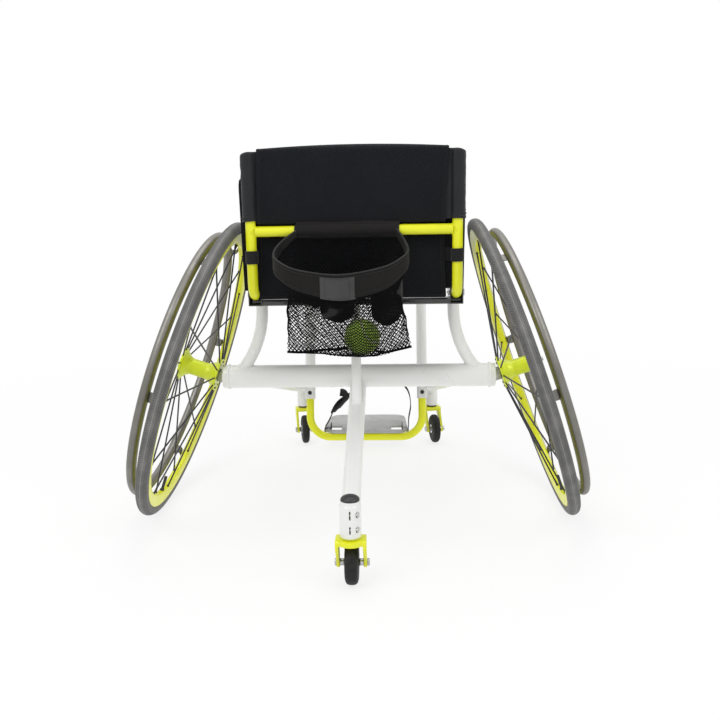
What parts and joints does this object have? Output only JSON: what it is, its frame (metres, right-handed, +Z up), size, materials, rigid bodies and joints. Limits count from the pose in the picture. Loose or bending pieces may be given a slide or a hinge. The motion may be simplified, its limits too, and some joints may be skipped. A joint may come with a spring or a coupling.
{
  "type": "tennis wheelchair",
  "caption": "Rigid court wheelchair with cambered spoked wheels, front casters, rear anti-tip caster, folding back, sling seat, footrest and a net ball holder.",
  "frame": {"origin": "on the floor, under the middle of the chair's overall length and width", "axes": "+X to the sitter's right, +Y the way the chair rolls forwards, +Z up"},
  "size_m": [0.8928, 0.8964, 0.7184],
  "materials": {
    "white_paint": "gloss white powder coat",
    "yellow_paint": "gloss fluorescent yellow powder coat",
    "black_paint": "gloss black powder coat",
    "spoked_hub": "yellow hub shell with black spokes",
    "titanium": "satin bare grey metal",
    "steel": "bright turned steel",
    "alloy": "satin bare alloy",
    "tyre_rubber": "grey rubber, fine tread",
    "caster_rubber": "smooth black polyurethane",
    "black_plastic": "black moulded plastic",
    "grey_plate": "matt grey coated plate",
    "vinyl": "black upholstery vinyl",
    "mesh_cloth": "black spacer mesh",
    "webbing": "black woven webbing",
    "neoprene": "black neoprene binding",
    "net_cord": "black knotted net",
    "ball_felt": "yellow-green felt"
  },
  "bodies": {
    "frame": {"camber_tube": "white_paint", "fifth_arm": "white_paint", "arm_brace": "white_paint", "fifth_housing": "white_paint", "fifth_cap": "black_plastic", "pinch_bolt_low": "steel", "pinch_bolt_top": "steel", "hinge_bar": "black_paint", "seat_sling": "webbing", "cushion": "mesh_cloth", "camber_plug_left": "alloy", "camber_plug_right": "alloy", "axle_pin_left": "steel", "axle_pin_right": "steel", "seat_rail_left": "white_paint", "seat_rail_right": "white_paint", "rear_upright_left": "white_paint", "rear_upright_right": "white_paint", "lower_rail_left": "white_paint", "lower_rail_right": "white_paint", "caster_housing_left": "white_paint", "caster_housing_right": "white_paint", "clamp_bolt_left": "black_plastic", "clamp_bolt_right": "black_plastic", "back_pivot_left": "steel", "back_pivot_right": "steel"},
    "wheel_left": {"tyre_left": "tyre_rubber", "rim_left": "yellow_paint", "hub_spokes_left": "spoked_hub", "bearing_set_left": "steel", "pushrim_left": "titanium"},
    "axle_button_left": {"axle_button_left": "steel"},
    "caster_swivel_left": {"caster_fork_left": "yellow_paint", "caster_axle_left": "steel"},
    "caster_wheel_left": {"caster_wheel_left": "caster_rubber"},
    "wheel_right": {"tyre_right": "tyre_rubber", "rim_right": "yellow_paint", "hub_spokes_right": "spoked_hub", "bearing_set_right": "steel", "pushrim_right": "titanium"},
    "axle_button_right": {"axle_button_right": "steel"},
    "caster_swivel_right": {"caster_fork_right": "yellow_paint", "caster_axle_right": "steel"},
    "caster_wheel_right": {"caster_wheel_right": "caster_rubber"},
    "fifth_swivel": {"fifth_fork": "yellow_paint", "fifth_axle": "steel"},
    "fifth_wheel": {"fifth_wheel": "caster_rubber"},
    "backrest": {"back_post_left": "yellow_paint", "back_post_right": "yellow_paint", "back_crossbar": "yellow_paint", "back_panel": "vinyl", "back_strap": "webbing", "back_cover": "mesh_cloth", "holder_band": "neoprene", "ball_net": "net_cord"},
    "ball": {"ball": "ball_felt"},
    "footrest": {"footrest_tube": "yellow_paint", "footplate": "grey_plate", "foot_strap": "webbing"}
  },
  "joints": [
    {"name": "wheel_left_spin", "type": "hinge", "parent": "frame", "child": "wheel_left", "pos_m": [-0.3234, -0.05675, 0.28985], "axis": [0.9483, 0, -0.3173], "continuous": true},
    {"name": "axle_button_left_press", "type": "slide", "parent": "frame", "child": "axle_button_left", "axis": [0.9483, 0, -0.3173], "range_m": [0, 0.0035], "stiffness_N_per_m": 400, "springref_m": -0.002},
    {"name": "caster_left_swivel", "type": "hinge", "parent": "frame", "child": "caster_swivel_left", "pos_m": [-0.167, 0.39825, 0.09], "axis": [0, 0, 1], "continuous": true},
    {"name": "caster_left_spin", "type": "hinge", "parent": "caster_swivel_left", "child": "caster_wheel_left", "pos_m": [-0.16076, 0.36891, 0.036], "axis": [0.9781, 0.2079, 0], "continuous": true},
    {"name": "wheel_right_spin", "type": "hinge", "parent": "frame", "child": "wheel_right", "pos_m": [0.3234, -0.05675, 0.28985], "axis": [0.9483, 0, 0.3173], "continuous": true},
    {"name": "axle_button_right_press", "type": "slide", "parent": "frame", "child": "axle_button_right", "axis": [-0.9483, 0, -0.3173], "range_m": [0, 0.0035], "stiffness_N_per_m": 400, "springref_m": -0.002},
    {"name": "caster_right_swivel", "type": "hinge", "parent": "frame", "child": "caster_swivel_right", "pos_m": [0.167, 0.39825, 0.09], "axis": [0, 0, 1], "continuous": true},
    {"name": "caster_right_spin", "type": "hinge", "parent": "caster_swivel_right", "child": "caster_wheel_right", "pos_m": [0.17324, 0.36891, 0.036], "axis": [0.9781, 0.2079, 0], "continuous": true},
    {"name": "fifth_swivel_turn", "type": "hinge", "parent": "frame", "child": "fifth_swivel", "pos_m": [0, -0.42475, 0.09], "axis": [0, 0, 1], "continuous": true},
    {"name": "fifth_wheel_spin", "type": "hinge", "parent": "fifth_swivel", "child": "fifth_wheel", "pos_m": [0, -0.40675, 0.037], "axis": [1, 0, 0], "continuous": true},
    {"name": "back_fold", "type": "hinge", "parent": "frame", "child": "backrest", "pos_m": [0, -0.11075, 0.4445], "axis": [-1, 0, 0], "range_deg": [0, 60]},
    {"name": "ball_lift", "type": "slide", "parent": "backrest", "child": "ball", "axis": [0, 0, 1], "range_m": [0, 0.25]},
    {"name": "footrest_height", "type": "slide", "parent": "frame", "child": "footrest", "axis": [0, 0.2909, 0.9568], "range_m": [-0.01, 0.03]}
  ]
}
